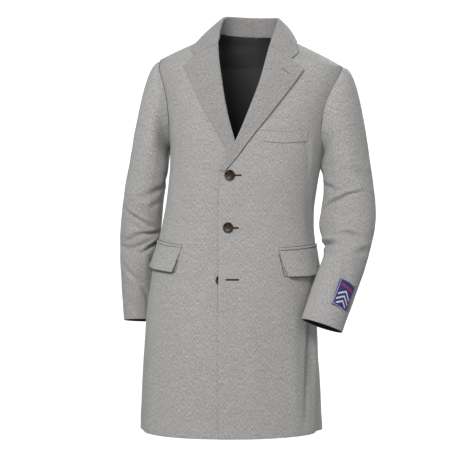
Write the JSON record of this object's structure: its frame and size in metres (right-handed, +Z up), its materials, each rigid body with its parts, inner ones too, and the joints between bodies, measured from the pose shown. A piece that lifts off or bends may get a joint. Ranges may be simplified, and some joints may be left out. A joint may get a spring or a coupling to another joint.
{
  "type": "chesterfield coat",
  "caption": "Knee-length single-breasted chesterfield coat of light grey wool, worn form, with notch lapels, flap pockets and horn buttons.",
  "frame": {"origin": "base of the neck, midway between the neck ends of the two shoulder seams, where the wearer's shoulders carry the coat", "axes": "+Z up, -Y is the coat's front, +X is the wearer's left, which is the viewer's right"},
  "size_m": [0.616, 0.3349, 0.9798],
  "materials": {
    "coat_wool": "brushed melange wool with a soft nap",
    "horn_button": "polished dark horn",
    "label_cloth": "woven satin label"
  },
  "bodies": {
    "root": {"back_left": "coat_wool", "back_right": "coat_wool", "breast_welt": "coat_wool", "collar": "coat_wool", "cuff_button_left_1": "horn_button", "cuff_button_left_2": "horn_button", "cuff_button_left_3": "horn_button", "cuff_button_right_1": "horn_button", "cuff_button_right_2": "horn_button", "cuff_button_right_3": "horn_button", "front_button_1": "horn_button", "front_button_2": "horn_button", "front_button_3": "horn_button", "front_left": "coat_wool", "front_right": "coat_wool", "lapel_left": "coat_wool", "lapel_right": "coat_wool", "pocket_flap_left": "coat_wool", "pocket_flap_right": "coat_wool", "pocket_jet_left": "coat_wool", "pocket_jet_right": "coat_wool", "sleeve_label": "label_cloth", "top_sleeve_left": "coat_wool", "top_sleeve_right": "coat_wool", "under_sleeve_left": "coat_wool", "under_sleeve_right": "coat_wool"}
  },
  "joints": []
}
